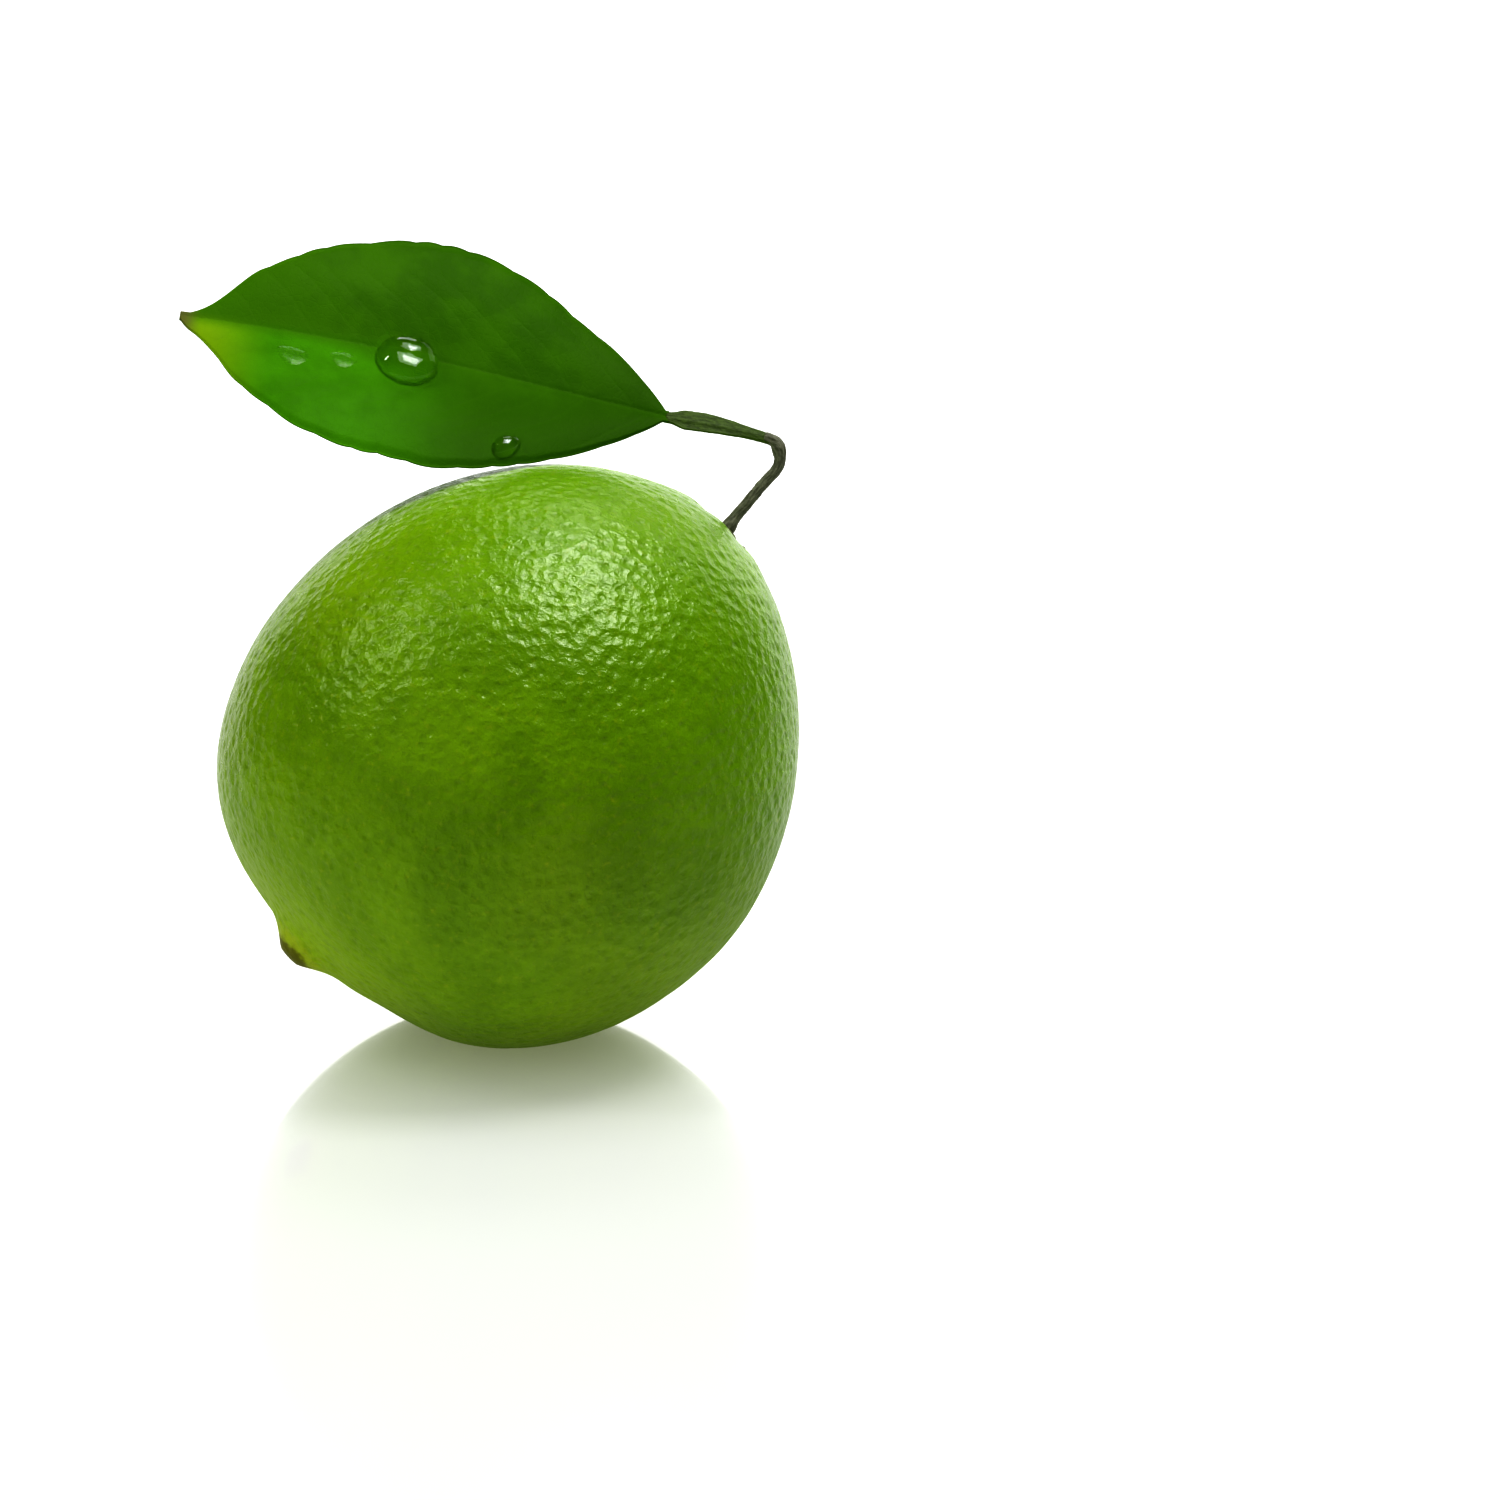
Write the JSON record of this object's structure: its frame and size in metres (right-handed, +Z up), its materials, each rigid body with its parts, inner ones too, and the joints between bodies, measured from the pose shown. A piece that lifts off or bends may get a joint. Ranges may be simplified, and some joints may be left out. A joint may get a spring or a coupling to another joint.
{
  "type": "lime",
  "caption": "Whole lime, rounded with a nipple at the blossom end, resting on its side, with calyx, short bent stem, winged leaf stalk, a pointed leaf and water drops on the leaf.",
  "frame": {"origin": "on the surface that the fruit rests on, straight below the middle of its widest section", "axes": "+Z up; +X to the side that the stem end points to; -Y to the side that the upper face of the leaf leans to; the leaf points along -X"},
  "size_m": [0.0621, 0.0564, 0.0759],
  "materials": {
    "rind": "waxy gloss over fine oil-gland pits",
    "calyx": "matt, woody green",
    "bark": "matt, grey-green",
    "stalk": "satin",
    "leaf": "satin, waxy above and paler below",
    "water": "clear"
  },
  "bodies": {
    "root": {"fruit": "rind", "calyx": "calyx", "stem": "bark", "petiole": "stalk", "leaf_blade": "leaf", "water_drop_large": "water", "water_drop_middle": "water", "water_drop_tip": "water", "water_drop_edge": "water"}
  },
  "joints": []
}
